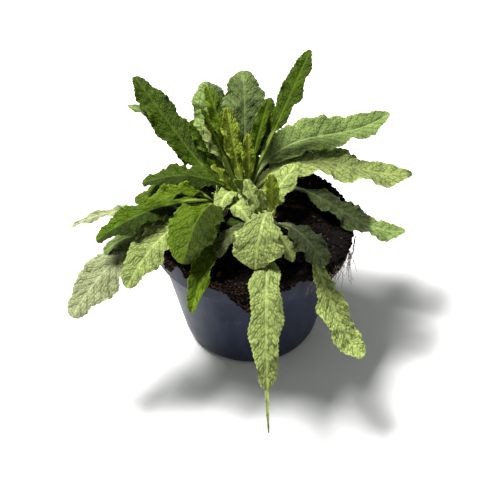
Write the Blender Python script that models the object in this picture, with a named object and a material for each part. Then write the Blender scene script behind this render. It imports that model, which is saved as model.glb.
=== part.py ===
"""Young potted salvia: a rosette of puckered, scalloped leaves in a round nursery pot of dark potting soil.

Metres, +Z up. The origin is the middle of the pot's underside, +X is to the right and -Y is the front.
The leaves are the piece's main shape: each is one thin solid with a grooved stalk, a raised rib under the
blade, a waved blade and a toothed edge, and it starts just clear of the crown that it grows from.
"""
import math

import bmesh
import bpy
import numpy as np
from mathutils import Vector

MM = 0.001
GAP = 0.0003                     # clearance left between neighbours that touch on the real plant

# Pot: outer sizes of a 2-litre nursery pot, 170 mm across its rim
POT_HEIGHT = 0.120
RIM_RADIUS = 0.085
COLLAR_HEIGHT = 0.021            # the wider band under the rim
BODY_TOP_RADIUS = 0.080          # just under the collar
BODY_FOOT_RADIUS = 0.0615        # where the wall turns into the foot
FOOT_BEND_HEIGHT = 0.0075
FOOT_RING_RADII = (0.049, 0.055)
UNDER_RECESS = 0.0025            # the floor is lifted between the middle pad and the foot ring
PAD_RADIUS = 0.015
WALL = 0.0016
POT_SIDES = 48
DRAIN_HOLES = 8
DRAIN_CIRCLE = 0.034
DRAIN_RADIUS = 0.0045

# Soil
SOIL_SIDES = 40
SOIL_EDGE = 0.1188               # height at the wall where the soil stays inside the rim
SOIL_MIDDLE = 0.1275             # height round the crowns
SOIL_SPILL = (-93, 70)           # degrees: the soil lies over the rim from here to here, on the right
SOIL_OVERHANG = 0.0018           # how far it reaches past the inside of the rim there
DRAPE = (-68, -8)                # degrees: root-bound soil hangs over the collar from here to here
DRAPE_DROP = 0.014               # how far down it hangs
DRAPE_THICKNESS = 0.0026
SOIL_HEAP = (0.052, 0.002, 0.022, 0.0055)    # a heap right of the crowns: x, y, spread, height
SOIL_LUMP = 0.0007
SOIL_RINGS = (0.88, 0.75, 0.61, 0.47, 0.33, 0.17)    # rings of its top, as shares of its radius

# Crowns: x, y, radius and height of each dome that leaves grow from, standing on a short stub in the soil
CROWN_BASE = 0.128
CROWN_SIDES = 12
STUB_DEPTH = 0.007
STUB_SHARE = 0.6                 # the stub's radius, as a share of the dome's
DOME_RINGS = (4, 25, 45, 65, 80) # degrees up the dome
CROWNS = {
    "crown_main": (-0.007, 0.008, 0.0105, 0.014),
    "crown_front": (0.014, -0.030, 0.0085, 0.013),
    "crown_left": (-0.028, -0.005, 0.0085, 0.012),
}

# Leaves: sizes shared by all of them
BLADE_THICKNESS = 0.0008
RIB_DEPTH = 0.0012               # the rib under the blade, at the blade's base
STALK_HALF_WIDTH = 0.0015
STALK_HALF_DEPTH = 0.0012
STALK_STEPS = 3
BLADE_STEPS = 13
TOOTH = 0.0018                   # how far the edge draws in between two teeth
EDGE_WAVE = 0.003                # how far the edge swings up and down
EDGE_WAVES = 3                   # swings along one edge
CURL = 0.15                      # how far the edges turn down, as a share of the half width
LOBE = 0.07                      # how far the outline swells and narrows along each side, as a share
LOBES = 3.3                      # swells along one side
BLUNT = 0.15                     # how much fuller the outline is towards the tip than towards the base
LEFT_SHIFT = 0.37                # how far the left side's waves and swells run ahead of the right side's
FACE_SHARES = (1, 0.5, 0, -0.5, -1)          # points across the blade's face, from the left edge
FIRST_RING = 0.35                # where the blade's first ring lies, as a share of one step
TIP_HALF_WIDTH = 0.0008
TAIL_HALF_WIDTH = 0.0015         # a long rolled tip
LINE_STEPS = 160                 # steps that the rib's path is added up from

# One entry a leaf. seat: degrees round the crown and mm out from its middle. heading and rise: compass and
# slope in degrees at the stalk's foot, the middle and the tip; heading 0 is right, 90 back, 180 left and
# 270 front. Stalk, blade, width and tail are in mm, fold and roll in degrees. A leaf with a lobe of its own
# swells by that share, and one with a blunt of its own has a fuller (above BLUNT) or sharper (below) tip.
LEAVES = {
    "leaf_left_01": dict(crown="crown_main", seat=(195, 8), heading=(141, 133, 129), rise=(19, 29, 23),
                         stalk=35, blade=106, width=34, fold=14, phase=0.1, widest=0.78, tone="dark"),
    "leaf_left_02": dict(crown="crown_main", seat=(145, 10), heading=(147, 141, 159), rise=(21, 29, 6),
                         stalk=52, blade=73, width=14, fold=14, phase=0.6, tone="grey"),
    "leaf_left_03": dict(crown="crown_main", seat=(181, 6), heading=(170, 179, 185), rise=(41, 4, -20),
                         stalk=8, blade=75, width=34, fold=8, phase=0.3, tone="dark"),
    "leaf_left_04": dict(crown="crown_main", seat=(214, 14), heading=(168, 176, 195), rise=(28, -1, -25),
                         stalk=24, blade=62, width=28, fold=10, phase=0.3, tone="green"),
    "leaf_left_05": dict(crown="crown_left", seat=(136, 3), heading=(199, 216, 203), rise=(17, 5, -33),
                         stalk=24, blade=84, width=31, fold=10, phase=0.3, tone="dark"),
    "leaf_left_06": dict(crown="crown_left", seat=(138, 7), heading=(185, 194, 183), rise=(-6, 5, -37),
                         stalk=54, blade=64, width=12, fold=10, phase=0.3, tone="pale"),
    "leaf_left_07": dict(crown="crown_left", seat=(218, 3), heading=(210, 208, 203), rise=(60, 16, -30),
                         stalk=14, blade=54, width=22, fold=32, phase=0.3, tone="green"),
    "leaf_left_08": dict(crown="crown_left", seat=(234, 12), heading=(203, 203, 201), rise=(15, -4, -34),
                         stalk=34, blade=62, width=25, fold=8, phase=0.3, tone="grey"),
    "leaf_left_09": dict(crown="crown_left", seat=(206, 8), heading=(202, 221, 230), rise=(8, -15, -40),
                         stalk=38, blade=108, width=40, fold=4, phase=0.3, widest=1.3, tone="pale"),
    "leaf_left_10": dict(crown="crown_left", seat=(236, 7), heading=(222, 232, 236), rise=(25, -7, -41),
                         stalk=24, blade=84, width=34, fold=12, phase=0.3, tone="bright"),
    "leaf_front_01": dict(crown="crown_left", seat=(-100, 4), heading=(-112, -106, -106),
                          rise=(46, 4, -38), stalk=15, blade=75, width=41, fold=12, phase=0.3, tone="green"),
    "leaf_front_02": dict(crown="crown_left", seat=(-104, 7), heading=(-85, -102, -114),
                          rise=(14, -9, -61), stalk=34, blade=72, width=20, fold=32, phase=0.3,
                          tone="green"),
    "leaf_front_03": dict(crown="crown_front", seat=(-118, 0), heading=(-104, -103, -101),
                          rise=(75, -4, -68), stalk=12, blade=66, width=39, fold=6, phase=0.2, widest=2.1,
                          lobe=0.12, blunt=-0.1, tone="bright"),
    "leaf_front_04": dict(crown="crown_front", seat=(-98, 8), heading=(-94, -91, -84),
                          rise=(24, -28, -62), stalk=35, blade=138, tail=32, width=25.5, fold=6,
                          phase=0.3, widest=0.8, lobe=0.13, blunt=0.22, tone="bright"),
    "leaf_front_05": dict(crown="crown_front", seat=(-1, 6), heading=(-39, -63, -37), rise=(16, -40, -23),
                          stalk=40, blade=90, width=26, fold=4, phase=0.3, widest=1.5, blunt=0.3,
                          tone="bright"),
    "leaf_front_06": dict(crown="crown_front", seat=(-42, 6), heading=(-49, -53, -53), rise=(53, -6, -25),
                          stalk=20, blade=45, width=26, fold=8, phase=0.3, tone="grey"),
    "leaf_front_07": dict(crown="crown_front", seat=(-74, 6), heading=(-66, -66, -66),
                          rise=(26, -10, -45), stalk=14, blade=26, width=12, fold=10, phase=0.3, steps=8,
                          tone="bright"),
    "leaf_front_08": dict(crown="crown_front", seat=(-130, 7), heading=(-132, -138, -106),
                          rise=(37, 10, -62), stalk=12, blade=48, width=15, fold=10, phase=0.5, steps=8,
                          tone="bright"),
    "leaf_right_01": dict(crown="crown_main", seat=(19, 12), heading=(4, -20, 5), rise=(50, -24, 9),
                          stalk=44, blade=94, width=32, fold=8, phase=0.3, tone="grey"),
    "leaf_right_02": dict(crown="crown_main", seat=(15, 8), heading=(38, 7, 12), rise=(57, -15, 5),
                          roll=(0, 4), stalk=20, blade=134, width=45, fold=8, phase=0.3, widest=0.85,
                          tone="bright"),
    "leaf_right_03": dict(crown="crown_main", seat=(47, 8), heading=(51, 28, 18), rise=(66, -5, 35),
                          roll=(10, 14), stalk=24, blade=133, width=42, fold=22, phase=0.3, widest=0.8,
                          tone="grey"),
    "leaf_right_04": dict(crown="crown_main", seat=(42, 6), heading=(34, 50, 57), rise=(68, 50, 42),
                          stalk=50, blade=77, width=21, fold=12, phase=0.3, tone="dark"),
    "leaf_top_01": dict(crown="crown_main", seat=(85, 5), heading=(88, 90, 96), rise=(62, 54, 12),
                        stalk=22, blade=82, width=38, fold=4, phase=0.45, tone="grey"),
    "leaf_top_02": dict(crown="crown_main", seat=(117, 6), heading=(136, 114, 98), rise=(56, 42, 24),
                        stalk=26, blade=74, width=36, fold=10, phase=0.7, tone="grey"),
    "leaf_back_01": dict(crown="crown_main", seat=(88, 10), heading=(90, 90, 88), rise=(26, -4, -50),
                         stalk=45, blade=80, width=34, fold=8, phase=0.3, steps=9, tone="green"),
    "leaf_back_02": dict(crown="crown_main", seat=(104, 9.5), heading=(112, 106, 102), rise=(46, 28, 8),
                         stalk=26, blade=62, width=30, fold=8, phase=0.3, steps=9, tone="green"),
    "leaf_back_03": dict(crown="crown_main", seat=(40, 10), heading=(42, 42, 38), rise=(26, -2, -48),
                         stalk=45, blade=78, width=34, fold=8, phase=0.3, steps=9, tone="green"),
    "leaf_back_04": dict(crown="crown_main", seat=(132, 9), heading=(135, 121, 107), rise=(12, 4, 13),
                         stalk=30, blade=69, width=30, fold=8, phase=0.3, steps=9, tone="dark"),
    "leaf_back_05": dict(crown="crown_main", seat=(62, 9), heading=(72, 75, 76), rise=(46, 36, 14),
                         stalk=28, blade=62, width=20, fold=8, phase=0.3, steps=9, tone="dark"),
    "leaf_back_06": dict(crown="crown_main", seat=(138, 8), heading=(136, 132, 128), rise=(46, 38, 30),
                         stalk=30, blade=42, width=24, fold=14, phase=0.1, tone="dark"),
    "leaf_back_07": dict(crown="crown_main", seat=(66, 10.5), heading=(68, 72, 64), rise=(17, 0, -44),
                         stalk=42, blade=66, width=28, fold=8, phase=0.6, steps=9, tone="dark"),
    "leaf_back_08": dict(crown="crown_main", seat=(112, 10.8), heading=(110, 102, 112),
                         rise=(18, -2, -44), stalk=42, blade=67, width=28, fold=8, phase=0.1, steps=9,
                         tone="green"),
    "leaf_heart_01": dict(crown="crown_main", seat=(150, 5), heading=(139, 135, 124), rise=(59, 51, 31),
                          stalk=26, blade=38, width=18, fold=10, phase=0.3, steps=10, tone="bright"),
    "leaf_heart_02": dict(crown="crown_main", seat=(-138, 7), heading=(-124, -116, -104),
                          rise=(66, 16, -46), stalk=8, blade=33, width=17, fold=8, phase=0.3, steps=8,
                          tone="bright"),
    "leaf_heart_03": dict(crown="crown_main", seat=(-80, 8), heading=(-80, -88, -110), rise=(44, -4, -60),
                          stalk=8, blade=26, width=14, fold=8, phase=0.3, steps=8, tone="bright"),
    "leaf_heart_04": dict(crown="crown_front", seat=(60, 5), heading=(110, 105, 100), rise=(80, 78, 70),
                          stalk=6, blade=32, width=14, fold=20, phase=0.3, steps=8, tone="young"),
    "leaf_heart_05": dict(crown="crown_front", seat=(150, 5), heading=(150, 130, 110), rise=(60, 50, 30),
                          stalk=6, blade=30, width=14, fold=10, phase=0.3, steps=8, tone="bright"),
    "leaf_heart_06": dict(crown="crown_main", seat=(-170, 4), heading=(137, 133, 131), rise=(61, 53, 47),
                          stalk=30, blade=44, width=12, fold=35, phase=0.3, steps=10, tone="dark"),
    "leaf_heart_07": dict(crown="crown_main", seat=(-110, 2), heading=(122, 112, 106), rise=(68, 60, 55),
                          stalk=18, blade=52, width=18, fold=22, phase=0.3, steps=10, tone="young"),
    "leaf_heart_08": dict(crown="crown_main", seat=(10, 3), heading=(70, 66, 64), rise=(66, 55, 45),
                          stalk=28, blade=48, width=14, fold=28, phase=0.3, steps=10, tone="dark"),
    "leaf_heart_09": dict(crown="crown_front", seat=(-150, 5), heading=(120, 116, 112), rise=(78, 74, 66),
                          stalk=4, blade=24, width=9, fold=16, phase=0.3, steps=7, tone="bright"),
    "leaf_heart_10": dict(crown="crown_front", seat=(-160, 6), heading=(-160, -170, -190),
                          rise=(40, 10, -20), stalk=5, blade=26, width=14, fold=8, phase=0.6, steps=7,
                          tone="dark"),
    "leaf_heart_11": dict(crown="crown_main", seat=(-30, 5), heading=(96, 92, 90), rise=(78, 72, 66),
                          stalk=10, blade=40, width=12, fold=20, phase=0.5, steps=8, tone="young"),
    "leaf_heart_12": dict(crown="crown_main", seat=(205, 8), heading=(177, 172, 168), rise=(70, 58, 40),
                          stalk=5, blade=30, width=15, fold=16, phase=0.4, steps=7, tone="young"),
    "leaf_heart_13": dict(crown="crown_main", seat=(-100, 4), heading=(-84, -92, -104), rise=(84, 62, 26),
                          stalk=4, blade=25, width=15, fold=8, phase=0.2, steps=7, tone="green"),
    "leaf_heart_14": dict(crown="crown_main", seat=(-16, 8), heading=(-10, -4, 0), rise=(50, 30, 8),
                          stalk=6, blade=26, width=13, fold=12, phase=0.8, steps=7, tone="bright"),
    "leaf_heart_15": dict(crown="crown_front", seat=(103, 11), heading=(81, 46, 79), rise=(73, 39, -3),
                          stalk=6, blade=50, width=24, fold=8, phase=0.1, steps=8, tone="bright"),
    "leaf_heart_16": dict(crown="crown_left", seat=(-40, 5), heading=(-50, -54, -60), rise=(54, 12, -38),
                          stalk=5, blade=36, width=18, fold=10, phase=0.6, steps=7, tone="bright"),
    "leaf_heart_17": dict(crown="crown_main", seat=(108, 3), heading=(130, 129, 109), rise=(68, 56, 35),
                          stalk=28, blade=63, width=17, fold=16, phase=0.8, steps=10, tone="green"),
}

TONES = {                        # linear colours of the blades
    "bright": (0.24, 0.36, 0.09),
    "young": (0.30, 0.42, 0.04),
    "green": (0.12, 0.22, 0.03),
    "dark": (0.05, 0.13, 0.015),
    "pale": (0.33, 0.42, 0.19),
    "grey": (0.15, 0.21, 0.12),
}
POT_COLOUR = (0.045, 0.055, 0.075)
SOIL_COLOUR = (0.012, 0.008, 0.006)
CROWN_COLOUR = (0.25, 0.30, 0.08)


def clear_scene():
    for old in list(bpy.data.objects):
        bpy.data.objects.remove(old, do_unlink=True)


def make_material(name, colour, roughness):
    material = bpy.data.materials.new(name)
    material.use_nodes = True
    shader = material.node_tree.nodes["Principled BSDF"]
    shader.inputs["Base Color"].default_value = (*colour, 1)
    shader.inputs["Roughness"].default_value = roughness
    shader.inputs["Metallic"].default_value = 0.0
    return material


def add_object(name, mesh, material, parent, location=(0, 0, 0)):
    made = bpy.data.objects.new(name, mesh)
    bpy.context.scene.collection.objects.link(made)
    mesh.materials.append(material)
    mesh.shade_smooth()
    mesh.set_sharp_from_angle(angle=math.radians(40))
    made.parent = parent
    made.location = location
    return made


def mesh_from(name, points, faces):
    mesh = bpy.data.meshes.new(name)
    mesh.from_pydata([tuple(p) for p in points], [], faces)
    work = bmesh.new()
    work.from_mesh(mesh)
    bmesh.ops.recalc_face_normals(work, faces=work.faces)
    work.to_mesh(mesh)
    work.free()
    return mesh


def turned_mesh(name, profile, sides):
    """Spin a profile of (radius, height) points, whose two ends lie on the axis, once round Z."""
    work = bmesh.new()
    points = [work.verts.new((r, 0, z)) for r, z in profile]
    edges = [work.edges.new(pair) for pair in zip(points, points[1:])]
    bmesh.ops.spin(work, geom=points + edges, cent=(0, 0, 0), axis=(0, 0, 1),
                   angle=2 * math.pi, steps=sides)
    bmesh.ops.remove_doubles(work, verts=work.verts, dist=1e-5)
    bmesh.ops.recalc_face_normals(work, faces=work.faces)
    mesh = bpy.data.meshes.new(name)
    work.to_mesh(mesh)
    work.free()
    return mesh


def cut(target, name, centres, radius, bottom, top, sides):
    """Cut upright round holes through the target with one cutter object."""
    work = bmesh.new()
    for x, y in centres:
        made = bmesh.ops.create_cone(work, cap_ends=True, segments=sides, radius1=radius, radius2=radius,
                                     depth=top - bottom)
        bmesh.ops.translate(work, verts=made["verts"], vec=Vector((x, y, (top + bottom) / 2)))
    mesh = bpy.data.meshes.new(name)
    work.to_mesh(mesh)
    work.free()
    cutter = bpy.data.objects.new(name, mesh)
    bpy.context.scene.collection.objects.link(cutter)
    cutter.hide_render = True
    cutter.display_type = "WIRE"
    boolean = target.modifiers.new(name, "BOOLEAN")
    boolean.operation = "DIFFERENCE"
    boolean.solver = "EXACT"
    boolean.object = cutter


def body_radius(height):
    """Outer radius of the tapered wall under the collar."""
    share = (height - FOOT_BEND_HEIGHT) / (POT_HEIGHT - COLLAR_HEIGHT - FOOT_BEND_HEIGHT)
    return BODY_FOOT_RADIUS + (BODY_TOP_RADIUS - BODY_FOOT_RADIUS) * share


def build_pot(parent):
    collar = POT_HEIGHT - COLLAR_HEIGHT
    floor = UNDER_RECESS + WALL
    inner_ring, outer_ring = FOOT_RING_RADII
    profile = [
        (0, 0), (PAD_RADIUS, 0), (PAD_RADIUS + 0.002, UNDER_RECESS),
        (inner_ring - 0.002, UNDER_RECESS), (inner_ring, 0), (outer_ring, 0),
        (outer_ring + 0.0035, 0.0018), (BODY_FOOT_RADIUS, FOOT_BEND_HEIGHT),
        (body_radius(collar - 0.0015), collar - 0.0015), (RIM_RADIUS - 0.0006, collar - 0.0005),
        (RIM_RADIUS, collar + 0.0008), (RIM_RADIUS, POT_HEIGHT - 0.0012),
        (RIM_RADIUS - 0.0006, POT_HEIGHT), (RIM_RADIUS - WALL + 0.0004, POT_HEIGHT),
        (RIM_RADIUS - WALL, POT_HEIGHT - 0.0008), (RIM_RADIUS - WALL, collar + WALL),
        (body_radius(collar) - WALL, collar), (BODY_FOOT_RADIUS - WALL, FOOT_BEND_HEIGHT),
        (outer_ring + 0.001, floor), (0, floor),
    ]
    pot = add_object("nursery_pot", turned_mesh("nursery_pot", profile, POT_SIDES),
                     make_material("moulded black-blue polypropylene", POT_COLOUR, 0.5), parent)
    angles = [2 * math.pi * (i + 0.5) / DRAIN_HOLES for i in range(DRAIN_HOLES)]
    centres = [(DRAIN_CIRCLE * math.cos(a), DRAIN_CIRCLE * math.sin(a)) for a in angles]
    cut(pot, "drain_cutter", centres, DRAIN_RADIUS, -0.002, floor + 0.002, 10)


def spill_at(turn):
    """None where the soil stays inside the rim at this angle, else how far it reaches over it, 0 to 1."""
    low, high = SOIL_SPILL
    degrees = (math.degrees(turn) + 180) % 360 - 180
    inside = min(degrees - low, high - degrees)
    return None if inside < 0 else max(0.0, min(1.0, inside / 12 - 0.75))


def drape_at(turn):
    """How far the soil hangs down over the collar at this angle, 0 to 1, with a ragged lower edge.
    None where it doesn't reach over the rim at all."""
    low, high = DRAPE
    degrees = (math.degrees(turn) + 180) % 360 - 180
    inside = min(degrees - low, high - degrees)
    if inside < -360 / SOIL_SIDES:
        return None
    return max(0.0, min(1.0, inside / 14)) * (0.84 + 0.16 * math.sin(1.9 * degrees))


def soil_height(x, y):
    """Height of the soil's surface inside the rim."""
    out = min(math.hypot(x, y) / (RIM_RADIUS - WALL), 1)
    height = SOIL_EDGE + (SOIL_MIDDLE - SOIL_EDGE) * (1 - out ** 2.5)
    heap_x, heap_y, spread, heap = SOIL_HEAP
    height += heap * math.exp(-((x - heap_x) ** 2 + (y - heap_y) ** 2) / (2 * spread ** 2)) * (1 - out ** 6)
    near = min(math.hypot(x - cx, y - cy) for cx, cy, _, _ in CROWNS.values())
    lumps = math.sin(310 * x + 1.3) * math.sin(270 * y + 0.4) + 0.6 * math.sin(640 * x - 520 * y)
    return height + SOIL_LUMP * lumps * min(max(near / 0.02 - 0.7, 0), 1)


def build_soil(parent):
    collar = POT_HEIGHT - COLLAR_HEIGHT
    floor = UNDER_RECESS + WALL + GAP
    reach = RIM_RADIUS - WALL - 2 * GAP
    turns = [2 * math.pi * i / SOIL_SIDES for i in range(SOIL_SIDES)]
    rings = [[(r * math.cos(t), r * math.sin(t), z) for t in turns] for r, z in (
        (FOOT_RING_RADII[1] - 0.001, floor),
        (BODY_FOOT_RADIUS - WALL - 4 * GAP, FOOT_BEND_HEIGHT + 2 * GAP),
        (body_radius(collar) - WALL - 3 * GAP, collar + GAP),
        (reach, collar + WALL + 2 * GAP),
    )]
    border = [[] for _ in range(6)]
    for t in turns:
        spill, drape = spill_at(t), drape_at(t)
        low = SOIL_EDGE - 2 * GAP if spill is None else POT_HEIGHT + GAP
        spill = spill or 0
        lip = reach + SOIL_OVERHANG * spill if drape is None else RIM_RADIUS + 0.0004
        drape = drape or 0
        shape = [
            (reach, low - 2 * GAP * (1 - spill)),
            (lip, low + GAP * spill),
            (lip, low + 0.00045 - DRAPE_DROP * drape),
            (lip + DRAPE_THICKNESS * drape, low + 0.0006 - (DRAPE_DROP - 0.001) * drape),
            (lip + (DRAPE_THICKNESS - 0.0004) * drape, low + 0.0008),
            (lip - 0.0015, low + 0.001 + 0.0012 * spill),
        ]
        for ring, (r, z) in zip(border, shape):
            ring.append((r * math.cos(t), r * math.sin(t), z))
    rings += border
    for share in SOIL_RINGS:
        ring = [(reach * share * math.cos(t), reach * share * math.sin(t)) for t in turns]
        rings.append([(x, y, soil_height(x, y)) for x, y in ring])
    points = [p for ring in rings for p in ring] + [(0, 0, floor), (0, 0, soil_height(0, 0))]
    bottom, top = len(points) - 2, len(points) - 1
    faces = []
    for i in range(SOIL_SIDES):
        j = (i + 1) % SOIL_SIDES
        faces.append((bottom, j, i))
        for k in range(len(rings) - 1):
            a, b = k * SOIL_SIDES, (k + 1) * SOIL_SIDES
            faces += [(a + i, a + j, b + j), (a + i, b + j, b + i)]
        last = (len(rings) - 1) * SOIL_SIDES
        faces.append((last + i, last + j, top))
    soil = add_object("potting_soil", mesh_from("potting_soil", points, faces),
                      make_material("peat potting soil", SOIL_COLOUR, 0.95), parent)
    for name, (x, y, radius, _) in CROWNS.items():
        cut(soil, name + "_hole", [(x, y)], radius * STUB_SHARE + 2 * GAP, CROWN_BASE - STUB_DEPTH - GAP,
            CROWN_BASE + 0.01, CROWN_SIDES)


def build_crown(name, parent):
    x, y, radius, height = CROWNS[name]
    stub = radius * STUB_SHARE
    dome = [(radius * math.cos(math.radians(a)), height * math.sin(math.radians(a)))
            for a in DOME_RINGS]
    profile = [(0, -STUB_DEPTH), (stub, -STUB_DEPTH), (stub, 0)] + dome + [(0, height)]
    add_object(name, turned_mesh(name, profile, CROWN_SIDES),
               make_material(name + " leaf bases", CROWN_COLOUR, 0.55), parent, (x, y, CROWN_BASE))


def eased(values, place):
    """Quadratic through three values, at place 0, 0.5 and 1."""
    start, middle, end = values
    return (start * (1 - place) * (1 - 2 * place) + 4 * middle * place * (1 - place)
            + end * place * (2 * place - 1))


def direction(leaf, places):
    """Heading and rise in radians, and the unit vector along the rib, at places 0 to 1 along the leaf."""
    turn = np.radians(eased(leaf["heading"], places))
    rise = np.radians(eased(leaf["rise"], places))
    along = np.stack([np.cos(rise) * np.cos(turn), np.cos(rise) * np.sin(turn), np.sin(rise)], 1)
    return turn, along


def leaf_frames(leaf, start, places):
    """Points on the rib at the places, with the vectors to the leaf's left and up from its face."""
    length = (leaf["stalk"] + leaf["blade"]) * MM
    fine = np.linspace(0, 1, LINE_STEPS + 1)
    _, steps = direction(leaf, (fine[1:] + fine[:-1]) / 2)
    path = np.concatenate([np.zeros((1, 3)), np.cumsum(steps * length / LINE_STEPS, 0)]) + np.array(start)
    points = np.stack([np.interp(places, fine, path[:, axis]) for axis in range(3)], 1)
    turn, along = direction(leaf, places)
    side = np.stack([-np.sin(turn), np.cos(turn), np.zeros_like(turn)], 1)
    up = np.cross(along, side)
    first, last = leaf.get("roll", (0, 0))
    roll = np.radians(first + (last - first) * places)[:, None]
    return points, side * np.cos(roll) + up * np.sin(roll), up * np.cos(roll) - side * np.sin(roll), along


def half_width(leaf, u):
    """Half the blade's width at u, 0 at its base to 1 at its tip."""
    share = min(u / (1 - leaf.get("tail", 0) / leaf["blade"]), 1)
    bow = max(math.sin(math.pi * share ** leaf.get("widest", 1.0)), 0)
    bow = bow ** (0.6 - leaf.get("blunt", BLUNT) * share)
    least = TAIL_HALF_WIDTH * (1.4 - u) if "tail" in leaf else TIP_HALF_WIDTH + 0.0006 * (1 - u)
    return max(leaf["width"] * MM / 2 * bow, least)


def blade_section(leaf, u, drawn_in):
    """Ten (side, up) points round the blade: its face from the left edge to the right, then its back."""
    half = half_width(leaf, u)
    fold = math.radians(leaf["fold"])
    swing_size = EDGE_WAVE * math.sin(math.pi * u) ** 0.5
    face = []
    for share in FACE_SHARES:
        shift = LEFT_SHIFT if share > 0 else 0
        swell = math.sin(2 * math.pi * (LOBES * u + 2 * leaf["phase"] + shift))
        reach = half * abs(share) * (1 + leaf.get("lobe", LOBE) * swell)
        if abs(share) == 1:
            reach -= min(drawn_in, 0.3 * half)
        swing = math.sin(2 * math.pi * (EDGE_WAVES * u + leaf["phase"] + shift))
        lift = reach * (math.sin(fold) - CURL * abs(share)) + swing_size * swing * share ** 2
        face.append((math.copysign(reach * math.cos(fold), share), lift))
    back = [(s, n - BLADE_THICKNESS) for s, n in face]
    back[2] = (0, back[2][1] - RIB_DEPTH * (1 - u) - 0.0001)
    return face + back[::-1]


def stalk_section():
    """Ten (side, up) points round the stalk: a grooved face and a round back."""
    w, d = STALK_HALF_WIDTH, STALK_HALF_DEPTH
    face = [(w, 0.2 * d), (0.55 * w, 0.75 * d), (0, 0.6 * d), (-0.55 * w, 0.75 * d), (-w, 0.2 * d)]
    back = [(-w, -0.35 * d), (-0.6 * w, -0.9 * d), (0, -1.2 * d), (0.6 * w, -0.9 * d), (w, -0.35 * d)]
    return face + back


def leaf_start(leaf):
    """The stalk's foot: from its seat on the crown's dome, moved along the stalk until it is just clear."""
    x, y, radius, height = CROWNS[leaf["crown"]]
    turn = math.radians(leaf["seat"][0])
    out = min(leaf["seat"][1] * MM, 0.97 * radius)
    lift = height * math.sqrt(1 - (out / radius) ** 2)
    seat = np.array([x + out * math.cos(turn), y + out * math.sin(turn), CROWN_BASE + lift])
    _, side, up, along = leaf_frames(leaf, seat, np.array([0.0]))
    reach = np.array([radius, radius, height]) + GAP
    for step in range(400):
        start = seat + along[0] * step * 0.0001
        ring = np.array([start + side[0] * s + up[0] * n for s, n in stalk_section()])
        outside = np.linalg.norm((ring - (x, y, CROWN_BASE)) / reach, axis=1).min() > 1
        if outside and ring[:, 2].min() > CROWN_BASE + 2 * GAP:
            break
    return start


def leaf_faces(ring_count):
    """Triangles between rings of ten points, cut along the same diagonal on face and back, and two ends."""
    faces = []
    for i in range(ring_count - 1):
        for j in range(10):
            k = (j + 1) % 10
            a, b, c, d = i * 10 + j, i * 10 + k, i * 10 + 10 + k, i * 10 + 10 + j
            faces += [(a, b, c), (a, c, d)] if j < 5 else [(a, b, d), (b, c, d)]
    last = (ring_count - 1) * 10
    for j in range(4):
        faces += [(j, 9 - j, 8 - j), (j, 8 - j, j + 1)]
        faces += [(last + j, last + j + 1, last + 8 - j), (last + j, last + 8 - j, last + 9 - j)]
    return faces


def build_leaf(name, parent):
    leaf = LEAVES[name]
    start = leaf_start(leaf)
    steps = leaf.get("steps", BLADE_STEPS)
    split = leaf["stalk"] / (leaf["stalk"] + leaf["blade"])
    blade = [(i + FIRST_RING) / (steps + FIRST_RING) for i in range(steps)] + [1.0]
    stalk = [split * i / STALK_STEPS for i in range(STALK_STEPS)]
    places = np.array(stalk + [split + (1 - split) * u for u in blade])
    points, side, up, _ = leaf_frames(leaf, (0, 0, 0), places)
    rings = []
    for i in range(len(places)):
        if i < STALK_STEPS:
            shape = stalk_section()
        else:
            index = i - STALK_STEPS
            shape = blade_section(leaf, blade[index], TOOTH if index % 2 else 0)
        rings += [points[i] + side[i] * s + up[i] * n for s, n in shape]
    mesh = mesh_from(name, rings, leaf_faces(len(places)))
    material = make_material(name + " blade", TONES[leaf["tone"]], 0.55)
    add_object(name, mesh, material, parent, start)


def main():
    clear_scene()
    plant = bpy.data.objects.new("potted_salvia", None)
    bpy.context.scene.collection.objects.link(plant)
    build_pot(plant)
    build_soil(plant)
    for name in CROWNS:
        build_crown(name, plant)
    for name in LEAVES:
        build_leaf(name, plant)


main()
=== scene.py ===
import math
from functools import partial

import bmesh
import bpy
import numpy as np
from mathutils import Matrix, Vector


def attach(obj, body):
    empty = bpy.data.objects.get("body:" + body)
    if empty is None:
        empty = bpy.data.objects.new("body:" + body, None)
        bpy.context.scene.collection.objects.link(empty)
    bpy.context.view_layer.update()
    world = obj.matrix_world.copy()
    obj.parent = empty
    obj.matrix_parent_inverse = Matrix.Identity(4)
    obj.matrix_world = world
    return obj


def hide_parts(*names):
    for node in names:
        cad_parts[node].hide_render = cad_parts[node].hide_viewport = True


# A young salvia in a nursery pot: the leaves, soil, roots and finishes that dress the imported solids.
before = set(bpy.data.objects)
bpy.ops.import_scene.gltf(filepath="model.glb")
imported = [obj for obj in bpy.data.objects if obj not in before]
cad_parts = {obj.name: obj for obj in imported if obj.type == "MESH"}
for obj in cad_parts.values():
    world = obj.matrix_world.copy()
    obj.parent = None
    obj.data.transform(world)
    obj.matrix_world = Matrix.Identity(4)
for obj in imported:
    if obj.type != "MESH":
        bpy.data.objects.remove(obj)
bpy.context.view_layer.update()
print("frame loaded with", len(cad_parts), "nodes")

mm = 0.001


def linearColour(hexCode):  # sRGB hex to linear colour with alpha
    shares = [int(hexCode[i:i + 2], 16) / 255 for i in (1, 3, 5)]
    return [c / 12.92 if c <= 0.04045 else ((c + 0.055) / 1.055) ** 2.4 for c in shares] + [1.0]


def setInputs(node, inputs):  # values and hex colours are set, other nodes' sockets are linked
    for key, value in inputs.items() if isinstance(inputs, dict) else enumerate(inputs):
        if isinstance(value, bpy.types.NodeSocket):
            node.id_data.links.new(value, node.inputs[key])
        elif value is not None:
            isHex = isinstance(value, str) and value.startswith("#")
            node.inputs[key].default_value = linearColour(value) if isHex else value


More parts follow.
